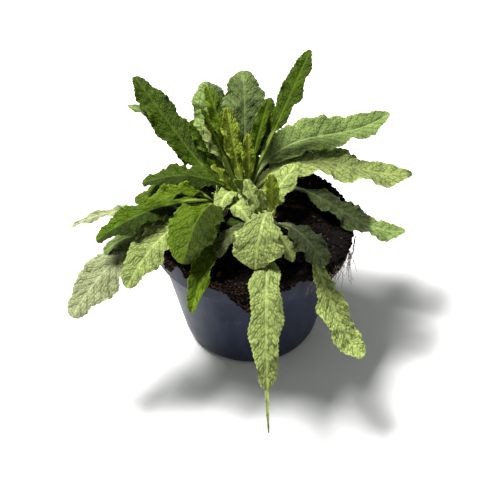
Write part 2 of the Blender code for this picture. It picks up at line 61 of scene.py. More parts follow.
def addNode(tree, kind, inputs=(), operation=None, out=0, **settings):  # kind says Math for ShaderNodeMath
    families = ("ShaderNode", "GeometryNode", "FunctionNode")
    node = tree.nodes.new(next(family + kind for family in families if hasattr(bpy.types, family + kind)))
    if operation:
        node.operation = operation
    for name, value in settings.items():
        setattr(node, name, value)
    setInputs(node, inputs)
    return node if out is None else node.outputs[out]


soft = {"interpolation_type": "SMOOTHSTEP"}  # node settings that come back often
cellEdge = {"voronoi_dimensions": "2D", "feature": "DISTANCE_TO_EDGE"}


def newTree(name, numbers, counts=()):  # a geometry tree with inputs for numbers, whole numbers and a material
    tree = bpy.data.node_groups.new(name, "GeometryNodeTree")
    for way in ("INPUT", "OUTPUT"):
        tree.interface.new_socket("Geometry", in_out=way, socket_type="NodeSocketGeometry")
    kinds = {**dict.fromkeys(numbers, "Float"), **dict.fromkeys(counts, "Int"), "Material": "Material"}
    for label, kind in kinds.items():
        tree.interface.new_socket(label, in_out="INPUT", socket_type="NodeSocket" + kind)
    return partial(addNode, tree), tree.nodes.new("NodeGroupInput").outputs, tree.nodes.new("NodeGroupOutput")


def endTree(given, result, shape):  # every tree ends in real faces with their material
    tree = result.id_data
    real = addNode(tree, "RealizeInstances", [shape])
    named = addNode(tree, "SetMaterial", {"Geometry": real, "Material": given["Material"]})
    setInputs(result, [named])
    return tree


def grow(pieces, tree, values):  # run a tree on pieces, and keep the plain meshes
    sockets = {s.name: s.identifier for s in tree.interface.items_tree if s.in_out == "INPUT"}
    for piece in pieces:
        modifier = piece.modifiers.new(tree.name, "NODES")
        modifier.node_group = tree
        for label, value in values(piece).items():
            modifier[sockets[label]] = value
    graph = bpy.context.evaluated_depsgraph_get()
    grown = [bpy.data.meshes.new_from_object(piece.evaluated_get(graph)) for piece in pieces]
    for piece, mesh in zip(pieces, grown):
        piece.modifiers.clear()
        mesh.name = piece.name
        piece.data = mesh


def addObject(name, data):
    made = bpy.data.objects.new(name, data)
    bpy.context.scene.collection.objects.link(made)
    return made


def addPiece(name, points, faces, edges=()):
    mesh = bpy.data.meshes.new(name)
    mesh.from_pydata(np.asarray(points).tolist(), list(edges), faces)
    return addObject(name, mesh)


def cleanPiece(name, work):  # from a bmesh, with doubles merged and all faces outwards
    bmesh.ops.remove_doubles(work, verts=work.verts, dist=1e-6)
    bmesh.ops.recalc_face_normals(work, faces=work.faces)
    mesh = bpy.data.meshes.new(name)
    work.to_mesh(mesh)
    work.free()
    return addObject(name, mesh)


def tubeFaces(rings, sides):  # rings of points joined to a tube with closed ends
    a = np.arange(rings - 1)[:, None] * sides + np.arange(sides)[None, :]
    b = np.arange(rings - 1)[:, None] * sides + (np.arange(sides)[None, :] + 1) % sides
    last = (rings - 1) * sides
    ends = [list(range(sides))[::-1], list(range(last, last + sides))]
    return np.stack([a, b, b + sides, a + sides], -1).reshape(-1, 4).tolist() + ends


def markPoints(piece, label, values, kind="FLOAT", field="value"):
    piece.data.attributes.new(label, kind, "POINT").data.foreach_set(field, np.ravel(values))


def dress(piece, slot, *nodes):  # rides on the plant and hides the solids it stands for; slot is not used
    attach(piece, "root")
    if nodes:
        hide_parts(*nodes)


def newMaterial(name):
    material = bpy.data.materials.new(name)
    material.use_nodes = True
    return material, partial(addNode, material.node_tree), material.node_tree.nodes["Principled BSDF"]


# Leaves, as the solids have them. Each crown has its x, y, radius and height. A leaf's seat is a turn and a
# distance on its crown, its heading and rise are the rib's degrees at the start, middle and end, its stalk,
# blade and width are in mm, its fold is how far both halves are raised. All turns are in degrees.
crowns = {
    "main": (-0.007, 0.008, 0.0105, 0.014),
    "front": (0.014, -0.030, 0.0085, 0.013),
    "left": (-0.028, -0.005, 0.0085, 0.012),
}
crownBase = 0.128
leafRules = {
    "gap": 0.0003,
    "stalkHalfWidth": 0.0015, "stalkHalfDepth": 0.0012,
    "edgeWave": 0.003, "edgeWaves": 3,  # the slow swing of each edge
    "lobe": 0.07, "lobes": 3.3, "leftShift": 0.37,  # swells of the outline, and how far the left runs ahead
    "blunt": 0.15,  # how much fuller the outline is towards the tip
    "nick": 0.035, "nicks": 7.7,  # smaller swells on top of those
    "ruffle": 0.0013, "ruffles": 8,  # the quick swing on top of the slow one
    "curl": 0.15,  # edges turn down by this share of the half width
    "tip": 0.0008, "tail": 0.0017,
    "thickness": 0.0006, "rib": 0.0012, "groove": 0.0005,
    "toothPitch": 0.0036, "toothDepth": 0.0011,
    "wing": 0.0034,  # the blade runs down the stalk, but hardly on the bare ones
    "bareStalks": ("left_06", "left_09", "right_01", "right_03", "right_04", "front_05", "front_04"),
    "fullBlade": 0.07, "fullWidth": 0.027,  # below these sizes teeth, swells and ruffles get smaller
    "rowPitch": 0.00072, "rows": (40, 170), "columnPitch": 0.00078, "columns": (16, 52), "stalkRows": 16,
}
leafRows = {  # crown, seat, heading, rise, stalk, blade, width, fold, tone, and what else sets this leaf apart
    "left_01": ("main", (195, 8), (141, 133, 129), (19, 29, 23), 35, 106, 34, 14, "dark",
                dict(phase=0.1, widest=0.78)),
    "left_02": ("main", (145, 10), (147, 141, 159), (21, 29, 6), 52, 73, 14, 14, "grey", dict(phase=0.6)),
    "left_03": ("main", (181, 6), (170, 179, 185), (41, 4, -20), 8, 75, 34, 8, "dark"),
    "left_04": ("main", (214, 14), (168, 176, 195), (28, -1, -25), 24, 62, 28, 10, "green"),
    "left_05": ("left", (136, 3), (199, 216, 203), (17, 5, -33), 24, 84, 31, 10, "dark"),
    "left_06": ("left", (138, 7), (185, 194, 183), (-6, 5, -37), 54, 64, 12, 10, "pale"),
    "left_07": ("left", (218, 3), (210, 208, 203), (60, 16, -30), 14, 54, 22, 32, "green"),
    "left_08": ("left", (234, 12), (203, 203, 201), (15, -4, -34), 34, 62, 25, 8, "grey"),
    "left_09": ("left", (206, 8), (202, 221, 230), (8, -15, -40), 38, 108, 40, 4, "pale", dict(widest=1.3)),
    "left_10": ("left", (236, 7), (222, 232, 236), (25, -7, -41), 24, 84, 34, 12, "bright"),
    "front_01": ("left", (-100, 4), (-112, -106, -106), (46, 4, -38), 15, 75, 41, 12, "green"),
    "front_02": ("left", (-104, 7), (-85, -102, -114), (14, -9, -61), 34, 72, 20, 32, "green"),
    "front_03": ("front", (-118, 0), (-104, -103, -101), (75, -4, -68), 12, 66, 39, 6, "bright",
                 dict(phase=0.2, widest=2.1, lobe=0.12, blunt=-0.1)),
    "front_04": ("front", (-98, 8), (-94, -91, -84), (24, -28, -62), 35, 138, 25.5, 6, "bright",
                 dict(widest=0.8, tail=32, lobe=0.13, blunt=0.22)),
    "front_05": ("front", (-1, 6), (-39, -63, -37), (16, -40, -23), 40, 90, 26, 4, "bright",
                 dict(widest=1.5, blunt=0.3)),
    "front_06": ("front", (-42, 6), (-49, -53, -53), (53, -6, -25), 20, 45, 26, 8, "grey"),
    "front_07": ("front", (-74, 6), (-66, -66, -66), (26, -10, -45), 14, 26, 12, 10, "bright"),
    "front_08": ("front", (-130, 7), (-132, -138, -106), (37, 10, -62), 12, 48, 15, 10, "bright",
                 dict(phase=0.5)),
    "right_01": ("main", (19, 12), (4, -20, 5), (50, -24, 9), 44, 94, 32, 8, "grey"),
    "right_02": ("main", (15, 8), (38, 7, 12), (57, -15, 5), 20, 134, 45, 8, "bright",
                 dict(widest=0.85, roll=(0, 4))),
    "right_03": ("main", (47, 8), (51, 28, 18), (66, -5, 35), 24, 133, 42, 22, "grey",
                 dict(widest=0.8, roll=(10, 14))),
    "right_04": ("main", (42, 6), (34, 50, 57), (68, 50, 42), 50, 77, 21, 12, "dark"),
    "top_01": ("main", (85, 5), (88, 90, 96), (62, 54, 12), 22, 82, 38, 4, "grey", dict(phase=0.45)),
    "top_02": ("main", (117, 6), (136, 114, 98), (56, 42, 24), 26, 74, 36, 10, "grey", dict(phase=0.7)),
    "back_01": ("main", (88, 10), (90, 90, 88), (26, -4, -50), 45, 80, 34, 8, "green"),
    "back_02": ("main", (104, 9.5), (112, 106, 102), (46, 28, 8), 26, 62, 30, 8, "green"),
    "back_03": ("main", (40, 10), (42, 42, 38), (26, -2, -48), 45, 78, 34, 8, "green"),
    "back_04": ("main", (132, 9), (135, 121, 107), (12, 4, 13), 30, 69, 30, 8, "dark"),
    "back_05": ("main", (62, 9), (72, 75, 76), (46, 36, 14), 28, 62, 20, 8, "dark"),
    "back_06": ("main", (138, 8), (136, 132, 128), (46, 38, 30), 30, 42, 24, 14, "dark", dict(phase=0.1)),
    "back_07": ("main", (66, 10.5), (68, 72, 64), (17, 0, -44), 42, 66, 28, 8, "dark", dict(phase=0.6)),
    "back_08": ("main", (112, 10.8), (110, 102, 112), (18, -2, -44), 42, 67, 28, 8, "green", dict(phase=0.1)),
    "heart_01": ("main", (150, 5), (139, 135, 124), (59, 51, 31), 26, 38, 18, 10, "bright"),
    "heart_02": ("main", (-138, 7), (-124, -116, -104), (66, 16, -46), 8, 33, 17, 8, "bright"),
    "heart_03": ("main", (-80, 8), (-80, -88, -110), (44, -4, -60), 8, 26, 14, 8, "bright"),
    "heart_04": ("front", (60, 5), (110, 105, 100), (80, 78, 70), 6, 32, 14, 20, "young"),
    "heart_05": ("front", (150, 5), (150, 130, 110), (60, 50, 30), 6, 30, 14, 10, "bright"),
    "heart_06": ("main", (-170, 4), (137, 133, 131), (61, 53, 47), 30, 44, 12, 35, "dark"),
    "heart_07": ("main", (-110, 2), (122, 112, 106), (68, 60, 55), 18, 52, 18, 22, "young"),
    "heart_08": ("main", (10, 3), (70, 66, 64), (66, 55, 45), 28, 48, 14, 28, "dark"),
    "heart_09": ("front", (-150, 5), (120, 116, 112), (78, 74, 66), 4, 24, 9, 16, "bright"),
    "heart_10": ("front", (-160, 6), (-160, -170, -190), (40, 10, -20), 5, 26, 14, 8, "dark", dict(phase=0.6)),
    "heart_11": ("main", (-30, 5), (96, 92, 90), (78, 72, 66), 10, 40, 12, 20, "young", dict(phase=0.5)),
    "heart_12": ("main", (205, 8), (177, 172, 168), (70, 58, 40), 5, 30, 15, 16, "young", dict(phase=0.4)),
    "heart_13": ("main", (-100, 4), (-84, -92, -104), (84, 62, 26), 4, 25, 15, 8, "green", dict(phase=0.2)),
    "heart_14": ("main", (-16, 8), (-10, -4, 0), (50, 30, 8), 6, 26, 13, 12, "bright", dict(phase=0.8)),
    "heart_15": ("front", (103, 11), (81, 46, 79), (73, 39, -3), 6, 50, 24, 8, "bright", dict(phase=0.1)),
    "heart_16": ("left", (-40, 5), (-50, -54, -60), (54, 12, -38), 5, 36, 18, 10, "bright", dict(phase=0.6)),
    "heart_17": ("main", (108, 3), (130, 129, 109), (68, 56, 35), 28, 63, 17, 16, "green", dict(phase=0.8)),
}
leafColumns = ("crown", "seat", "heading", "rise", "stalk", "blade", "width", "fold", "tone")
leaves = {name: {"phase": 0.3, **dict(zip(leafColumns, row)), **(row[9] if len(row) > 9 else {})}
          for name, row in leafRows.items()}


paintedLightTints = {  # painted light and shade, times the tone: whole leaves lighter or darker as they were lit or shaded, or their lit and shaded halves
    "left_01": 0.85, "left_03": (0.45, 0.88), "left_04": (0.5, 0.75), "left_05": (0.45, 1.35), "left_06": 0.85,
    "left_07": (0.7, 1.1), "left_08": 0.85, "left_09": 0.82, "left_10": 0.92, "front_01": (0.3, 0.9),
    "front_02": (1.15, 0.9), "front_03": 0.95, "front_04": 1.0, "front_05": 1.3, "front_06": 0.18,
    "front_08": 0.3, "right_01": 0.36, "right_02": 1.05, "right_03": 1.4, "right_04": 1.0, "top_01": 0.75,
    "top_02": (1.35, 0.72), "back_04": 1.3, "heart_02": 1.2, "heart_03": 1.2, "heart_04": 1.5, "heart_05": 1.15,
    "heart_10": 0.5, "heart_15": 1.2, "heart_16": 1.15,
}
tipLightAndDeadTips = {"right_01": (0.66, 4.0), "right_02": (0.94, 0.2)}  # from how far out, and times the tone: right_01's tip is a painted highlight, right_02's tip is darker where it is dead


def smooth(low, high, value):  # 0 below low, 1 above high, smooth between
    share = np.clip((value - low) / (high - low), 0, 1)
    return share * share * (3 - 2 * share)


def eased(values, place):  # a quadratic through values at 0, 0.5 and 1
    start, middle, end = values
    return (start * (1 - place) * (1 - 2 * place) + 4 * middle * place * (1 - place)
            + end * place * (2 * place - 1))


def headingAt(leaf, places):  # turn in radians, and the direction along the rib
    turn = np.radians(eased(leaf["heading"], places))
    rise = np.radians(eased(leaf["rise"], places))
    return turn, np.stack([np.cos(rise) * np.cos(turn), np.cos(rise) * np.sin(turn), np.sin(rise)], 1)


def ribFrames(leaf, start, places):  # points on the rib, then its left, up and along
    length = (leaf["stalk"] + leaf["blade"]) * mm
    fine = np.linspace(0, 1, 161)
    _, steps = headingAt(leaf, (fine[1:] + fine[:-1]) / 2)
    path = np.concatenate([np.zeros((1, 3)), np.cumsum(steps * length / 160, 0)]) + np.array(start)
    points = np.stack([np.interp(places, fine, path[:, axis]) for axis in range(3)], 1)
    turn, along = headingAt(leaf, places)
    side = np.stack([-np.sin(turn), np.cos(turn), np.zeros_like(turn)], 1)
    up = np.cross(along, side)
    first, last = leaf.get("roll", (0, 0))
    roll = np.radians(first + (last - first) * places)[:, None]
    return points, side * np.cos(roll) + up * np.sin(roll), up * np.cos(roll) - side * np.sin(roll), along


def stalkFoot(leaf):  # just clear of the crown, where the solid starts too
    x, y, radius, height = crowns[leaf["crown"]]
    width, depth, gap = (leafRules[key] for key in ("stalkHalfWidth", "stalkHalfDepth", "gap"))
    ringSide = width * np.array([1, 0.55, 0, -0.55, -1, -1, -0.6, 0, 0.6, 1])
    ringUp = depth * np.array([0.2, 0.75, 0.6, 0.75, 0.2, -0.35, -0.9, -1.2, -0.9, -0.35])
    turn = math.radians(leaf["seat"][0])
    out = min(leaf["seat"][1] * mm, 0.97 * radius)
    lift = height * math.sqrt(1 - (out / radius) ** 2)
    seat = np.array([x + out * math.cos(turn), y + out * math.sin(turn), crownBase + lift])
    _, side, up, along = ribFrames(leaf, seat, np.array([0.0]))
    reach = np.array([radius, radius, height]) + gap
    stride = 0.0001
    for step in range(400):
        start = seat + along[0] * step * stride
        ring = start + ringSide[:, None] * side[0] + ringUp[:, None] * up[0]
        clear = np.linalg.norm((ring - (x, y, crownBase)) / reach, axis=1).min() > 1
        if clear and ring[:, 2].min() > crownBase + 2 * gap:
            break
    return start


def buildLeaf(name, seed):
    leaf, rules = leaves[name], leafRules
    rng = np.random.default_rng(seed)
    blade, width = leaf["blade"] * mm, leaf["width"] * mm
    size = min(1, blade / rules["fullBlade"], width / rules["fullWidth"])
    rows = int(np.clip(blade / rules["rowPitch"], *rules["rows"]))
    columns = int(np.clip(width / rules["columnPitch"], *rules["columns"]))
    stalkRows = rules["stalkRows"]
    split = leaf["stalk"] / (leaf["stalk"] + leaf["blade"])
    u = np.concatenate([np.zeros(stalkRows), np.linspace(0, 1, rows)])
    places = np.concatenate([split * np.arange(stalkRows) / stalkRows, split + (1 - split) * u[stalkRows:]])
    points, side, up, _ = ribFrames(leaf, stalkFoot(leaf), places)

    v = np.concatenate([np.linspace(1, -1, columns + 1), np.linspace(-1, 1, columns + 1)[1:-1]])[None, :]
    under = np.concatenate([np.zeros(columns + 1), np.ones(columns - 1)])[None, :]
    u = u[:, None]
    share = np.minimum(u / (1 - leaf.get("tail", 0) / leaf["blade"]), 1)
    bow = np.maximum(np.sin(np.pi * share ** leaf.get("widest", 1.0)), 0)
    bow = bow ** (0.6 - leaf.get("blunt", rules["blunt"]) * share)
    least = rules["tail"] * (1 - 0.5 * u ** 8) if "tail" in leaf else rules["tip"] + 0.0006 * (1 - u)
    half = np.maximum(width / 2 * bow, least)
    shift = np.where(v > 0, rules["leftShift"], 0)
    lobes = np.sin(2 * np.pi * (rules["lobes"] * u + 2 * leaf["phase"] + shift))
    nicks = np.sin(2 * np.pi * (rules["nicks"] * size * u + rng.random() + shift))
    swells = 1 + leaf.get("lobe", rules["lobe"]) * lobes + rules["nick"] * nicks

    far = np.abs(v)
    hand = np.sign(v)
    teeth = blade / (rules["toothPitch"] * (0.45 + 0.55 * size))
    wander = sum(0.12 * np.sin(2 * np.pi * (k * u + rng.random() + 0.31 * hand)) for k in (2, 3, 5, 7))
    scallop = 1 - np.abs(np.sin(np.pi * (teeth * u + 0.25 * hand + 0.8 * wander))) ** 0.7
    drawn = np.minimum(rules["toothDepth"] * size * (scallop + 0.7 * np.abs(wander)), 0.3 * half)
    reach = half * far * swells - drawn * smooth(0.7, 1, far)
    fold = math.radians(leaf["fold"])
    swell = np.sqrt(np.sin(np.pi * u).clip(0))
    swing = np.sin(2 * np.pi * (rules["edgeWaves"] * u + leaf["phase"] + shift))
    ruffle = np.sin(2 * np.pi * (rules["ruffles"] * size * u + 1.7 * leaf["phase"] + 0.43 * hand + wander))
    lift = (reach * (math.sin(fold) - rules["curl"] * far)
            + rules["edgeWave"] * (0.3 + 0.7 * size) * swell * swing * v ** 2
            + rules["ruffle"] * size * swell * ruffle * far ** 3)
    bladeX = hand * reach * math.cos(fold)
    rib = np.exp(-(bladeX / 0.0009) ** 2) * (1 - 0.75 * u)
    ridge = np.exp(-(bladeX / 0.0013) ** 2) * (0.25 + 0.75 * (1 - u))
    thick = rules["thickness"] * (1 - 0.55 * far ** 4) * np.where(far > 0.999, 0, 1)
    bladeY = lift - rules["groove"] * rib - under * (thick + rules["rib"] * ridge - rules["groove"] * rib)

    bare = 0.15 if name in rules["bareStalks"] else 1.0
    wing = bare * size * rules["wing"] * smooth(0.1, 1, places / split)[:, None]
    frill = 1 + 0.22 * np.sin(2 * np.pi * (5 * places / split)[:, None] + 3 * hand + seed)
    stalkX = hand * (rules["stalkHalfWidth"] * far + wing * frill * far ** 1.5)
    core = np.exp(-(stalkX / (1.1 * rules["stalkHalfWidth"])) ** 2)
    roundness = np.sqrt(1 - far ** 2) * (1 - wing / 0.004).clip(0, 1) + core * (wing / 0.004).clip(0, 1)
    dip = 0.35 * np.exp(-(stalkX / 0.0006) ** 2)
    stalkY = (rules["stalkHalfDepth"] * np.where(under > 0, -1.15 * roundness, 0.75 * roundness - dip)
              + 0.35 * wing * far ** 2 - under * 0.0004 * (far < 0.999))
    opening = smooth(0, 0.07, u) * (np.arange(len(u)) >= stalkRows)[:, None]
    x = stalkX + (bladeX - stalkX) * opening
    y = stalkY + (bladeY - stalkY) * opening
    made = points[:, None, :] + side[:, None, :] * x[..., None] + up[:, None, :] * y[..., None]

    sides = 2 * columns
    piece = addPiece("leaf-" + name.replace("_", "-"), made.reshape(-1, 3), tubeFaces(len(u), sides))

    full = np.ones_like(x)
    strength = (smooth(0.02, 0.14, u) * (1 - 0.5 * smooth(0.9, 1, u)) * (1 - np.exp(-(bladeX / 0.0012) ** 2))
                * (1 - 0.65 * smooth(0.8, 1, far)) * opening)
    # painted light and shade where listed, a random tone of the leaf otherwise
    toneAndLight = paintedLightTints.get(name, rng.uniform(0.88, 1.08))
    leftToneAndLight, rightToneAndLight = toneAndLight if isinstance(toneAndLight, tuple) else (toneAndLight, toneAndLight)
    tipFrom, tipLightAndDead = tipLightAndDeadTips.get(name, (1, 1))
    marks = {
        "along": u * blade * full, "across": bladeX * full, "pucker": strength * full,
        "midrib": (np.exp(-(bladeX / (0.0003 + 0.0003 * (1 - u))) ** 2) * (0.12 + 0.5 * (1 - u) ** 2)
                   * (share < 1)),
        "stalk": (1 - opening) * core,
        "underside": under * full, "margin": smooth(0.86, 1, far) * opening,
        "toneAndPaintedLight": ((rightToneAndLight + (leftToneAndLight - rightToneAndLight) * smooth(-0.1, 0.1, v)) * (1 + 0.12 * wander) * full
                 * (1 + (tipLightAndDead - 1) * smooth(tipFrom, tipFrom + 0.05, u))),
    }
    for label, values in marks.items():
        markPoints(piece, label, values)
    markPoints(piece, "lift", np.repeat(up[:, None, :], sides, 1), "FLOAT_VECTOR", "vector")
    piece["leaf"], piece["seed"] = name, seed
    return piece


puckers = {  # mm: bulges between the veins, by tone
    "veinSpacing": 9.5, "cellWidth": 2.75, "cellsBetween": 3.3, "slant": 1.15,
    "bulge": {"bright": 0.58, "young": 0.5, "green": 0.5, "dark": 0.5, "pale": 0.65, "grey": 0.5},
    "heave": 3.3, "heaveAcross": 14,  # the slow rise and fall of the whole blade
    "fullBlade": 44, "fullHeave": 80,  # blades shorter than these have less of each
}


def puckerTree():  # bulges between sunken veins, along stored directions
    add, given, result = newTree("puckeredBlade", (
        "Vein spacing", "Cell width", "Cells between", "Slant", "Bulge", "Heave", "Heave across"), ["Seed"])
    mark = {name: add("InputNamedAttribute", [name]) for name in ("along", "across", "pucker")}
    lift = add("InputNamedAttribute", ["lift"], data_type="FLOAT_VECTOR")
    shiftLeaf = add("Math", [given["Seed"], 7.0], "MULTIPLY")
    flat = add("CombineXYZ", [mark["along"], mark["across"], shiftLeaf])
    wide = add("Math", [1.0, given["Heave across"]], "DIVIDE")
    slow = add("TexNoise", {"Vector": flat, "Scale": wide, "Detail": 1.0})
    about = add("Math", [slow, 0.5], "SUBTRACT")
    out = add("Math", [mark["across"]], "ABSOLUTE")
    hand = add("Math", [mark["across"]], "SIGN")
    back = add("Math", [out, given["Slant"]], "MULTIPLY")
    behind = add("Math", [mark["along"], back], "SUBTRACT")
    even = add("Math", [behind, given["Vein spacing"]], "DIVIDE")
    vein = add("Math", [about, 1.1, even], "MULTIPLY_ADD")  # they wander a little
    cell = add("Math", [out, given["Cell width"]], "DIVIDE")
    shiftSide = add("Math", [hand, 41.0, 60.0], "MULTIPLY_ADD")
    acrossCell = add("Math", [cell, shiftSide], "ADD")
    alongCell = add("Math", [vein, shiftLeaf], "ADD")
    alongCells = add("Math", [alongCell, given["Cells between"]], "MULTIPLY")
    spot = add("CombineXYZ", [alongCells, acrossCell, 0.0])
    edge = add("TexVoronoi", {"Vector": spot, "Scale": 1.0, "Randomness": 0.95}, **cellEdge)
    dome = add("MapRange", [edge, 0.0, 0.4, 0.0, 1.0], **soft)
    part = add("Math", [vein], "FRACT")
    middle = add("Math", [part, 0.5], "SUBTRACT")
    apart = add("Math", [middle], "ABSOLUTE")
    between = add("MapRange", [apart, 0.5, 0.28, 0.0, 1.0], **soft)
    domes = add("Math", [dome, 0.62], "MULTIPLY")
    height = add("Math", [between, 0.7, domes], "MULTIPLY_ADD")
    centred = add("Math", [height, 0.7], "SUBTRACT")
    fading = add("Math", [centred, mark["pucker"]], "MULTIPLY")
    size = add("Math", [fading, given["Bulge"]], "MULTIPLY")
    heaved = add("Math", [about, given["Heave"]], "MULTIPLY")
    rolling = add("Math", [heaved, mark["pucker"]], "MULTIPLY")
    total = add("Math", [size, rolling], "ADD")
    offset = add("VectorMath", {0: lift, "Scale": total}, "SCALE")
    moved = add("SetPosition", {"Geometry": given["Geometry"], "Offset": offset})
    lateral = add("MapRange", [apart, 0.43, 0.5, 0.0, 1.0], **soft)
    shown = add("Math", [lateral, mark["pucker"]], "MULTIPLY")
    stored = (("lateral", shown, "FLOAT"), ("bulge", height, "FLOAT"), ("cells", spot, "FLOAT_VECTOR"))
    for label, value, kind in stored:
        moved = add("StoreNamedAttribute", {"Geometry": moved, "Name": label, "Value": value}, data_type=kind)
    shaded = add("SetShadeSmooth", [moved])
    return endTree(given, result, shaded)


leafFinish = {  # sRGB: raised blade, sunken veins (their deep green, darker still as painted shade in the grooves), underside, stalk
    # bright, pale, green, grey and dark are partly painted light: lighter for leaves that stood in sun, darker
    # for shaded ones, as copies of one leaf green; young is the real yellow-green of new leaves
    "bright": dict(face="#909d59", vein="#5c6d30", under="#8a9a5c", stalk="#a9b56c", hair=0.04),
    "young": dict(face="#85942f", vein="#485a16", under="#8b9a3c", stalk="#a2ad4c", hair=0.0),
    "green": dict(face="#586e10", vein="#3f540a", under="#75864a", stalk="#7f9144", hair=0.0),
    "dark": dict(face="#3e5303", vein="#2b3c02", under="#64753e", stalk="#6b7d33", hair=0.0),
    "pale": dict(face="#a3a97c", vein="#6c7845", under="#9ba578", stalk="#b3bb8c", hair=0.07),
    "grey": dict(face="#6a7b42", vein="#4a5c2a", under="#76865a", stalk="#aab57c", hair=0.02),
}

# Light goes about 1 mm into the tissue, green light furthest
tissue = {"Subsurface Weight": 0.2, "Subsurface Radius": (0.8, 1.0, 0.25), "Subsurface Scale": 0.001}


def leafMaterial(tone):
    # Living sage leaf: thin tissue that bulges between sunken veins, under a felt of short hairs, so it has no
    # gloss and light shines through it; its raised parts look pale and dusty, and its veins and hollows are
    # darker, partly as painted shade
    look = leafFinish[tone]
    material, add, shader = newMaterial("hairy puckered leaf, " + tone)
    place = add("TexCoord", out="Object")
    cells = add("Attribute", out="Vector", attribute_name="cells")
    mark = {name: add("Attribute", out="Fac", attribute_name=name)
            for name in ("lateral", "midrib", "stalk", "underside", "margin", "bulge", "pucker", "toneAndPaintedLight")}
    net = add("TexVoronoi", {"Vector": cells, "Scale": 1.0, "Randomness": 0.95}, **cellEdge)
    # the finest net, 1.3 mm a cell
    fine = add("TexVoronoi", {"Vector": cells, "Scale": 2.7, "Randomness": 1.0}, **cellEdge)
    netLine = add("MapRange", [net, 0.02, 0.15, 0.85, 0.0], **soft)
    fineLine = add("MapRange", [fine, 0.0, 0.2, 0.4, 0.0])
    lines = add("Math", [netLine, fineLine], "MAXIMUM")
    every = add("Math", [lines, mark["lateral"]], "MAXIMUM")
    veins = add("Math", [every, mark["pucker"]], "MULTIPLY")
    # the veins in their own deep green, darker still as painted shade in their grooves
    face = add("MixRGB", [veins, look["face"], look["vein"]])
    blotch = add("TexNoise", {"Vector": place, "Scale": 90.0, "Detail": 3.0})
    light = add("MapRange", [blotch, 0.3, 0.7, 0.82, 1.14])
    # painted shade: darker in the hollows between the bulges and paler on the raised parts, partly the real
    # pale hairs there
    creaseShade = add("MapRange", [mark["bulge"], 0.1, 1.15, 0.6, 1.13])
    creaseShadeAndMottle = add("Math", [creaseShade, light], "MULTIPLY")
    toned = add("VectorMath", {0: face, "Scale": creaseShadeAndMottle}, "SCALE")
    below = add("MixRGB", [mark["underside"], toned, look["under"]])
    ribbed = add("MixRGB", [mark["midrib"], below, look["stalk"]])
    stalked = add("MixRGB", [mark["stalk"], ribbed, look["stalk"]])
    # the painted light and shade, with the random tone, times the colour
    withPaintedLight = add("VectorMath", {0: stalked, "Scale": mark["toneAndPaintedLight"]}, "SCALE")
    netDome = add("MapRange", [net, 0.0, 0.3, 0.0, 0.6], **soft)
    fineDome = add("MapRange", [fine, 0.0, 0.32, 0.0, 0.35])
    hairs = add("TexNoise", {"Vector": place, "Scale": 1500.0, "Detail": 2.0})
    domes = add("Math", [netDome, fineDome], "ADD")
    kept = add("Math", [domes, mark["pucker"]], "MULTIPLY")
    relief = add("Math", [hairs, 0.22, kept], "MULTIPLY_ADD")
    bump = add("Bump", {"Height": relief, "Strength": 0.9, "Distance": 0.0006})
    setInputs(shader, {"Base Color": withPaintedLight, "Normal": bump, "Roughness": 0.55, "Specular IOR Level": 0.09,
                       "Sheen Weight": look["hair"], "Sheen Roughness": 0.5, **tissue})
    return material


def leafInputs(piece):  # small leaves have smaller puckers
    leaf = leaves[piece["leaf"]]
    share = min(1, leaf["blade"] / puckers["fullBlade"])
    heave = 2 * puckers["heave"] * min(1, leaf["blade"] / puckers["fullHeave"])
    return {
        "Vein spacing": puckers["veinSpacing"] * mm * share, "Cell width": puckers["cellWidth"] * mm * share,
        "Cells between": puckers["cellsBetween"], "Slant": puckers["slant"], "Heave": heave * mm,
        "Heave across": puckers["heaveAcross"] * mm, "Bulge": puckers["bulge"][leaf["tone"]] * mm * share,
        "Seed": piece["seed"], "Material": leafMaterials[leaf["tone"]],
    }


leafMaterials = {tone: leafMaterial(tone) for tone in leafFinish}
blades = [buildLeaf(name, seed) for seed, name in enumerate(leaves, 1)]
grow(blades, puckerTree(), leafInputs)
for piece in blades:
    dress(piece, "leaf_" + leaves[piece["leaf"]]["tone"], "leaf_" + piece["leaf"])
print("leaves:", len(blades), "with", sum(len(piece.data.polygons) for piece in blades), "faces")


# Crowns: a dome of packed stalk bases with small folded leaves just opening among them
buds = {
    "count": 26, "spread": 0.8, "length": 0.015, "width": 0.0052, "thickness": 0.0007,  # m
    "face": "#8c9b37", "base": "#b4bd7c", "deep": "#4c5a1c",
}


def crownMaterial():
    # Young leaf tissue and blanched stalk bases: soft, a little waxy, pale where no light has reached it
    material, add, shader = newMaterial("young leaf tissue")
    height = add("Attribute", out="Fac", attribute_name="height")
    place = add("TexCoord", out="Object")
    blotch = add("TexNoise", {"Vector": place, "Scale": 260.0, "Detail": 3.0})
    patch = add("MapRange", [blotch, 0.4, 0.62, 0.0, 0.75])
    grown = add("MixRGB", [height, buds["base"], buds["face"]])
    shade = add("MixRGB", [patch, grown, buds["deep"]])
    grain = add("TexVoronoi", {"Vector": place, "Scale": 700.0})
    bump = add("Bump", {"Height": grain, "Strength": 0.6, "Distance": 0.0005})
    setInputs(shader, {"Base Color": shade, "Normal": bump, "Roughness": 0.55, "Specular IOR Level": 0.35,
                       **tissue})
    return material


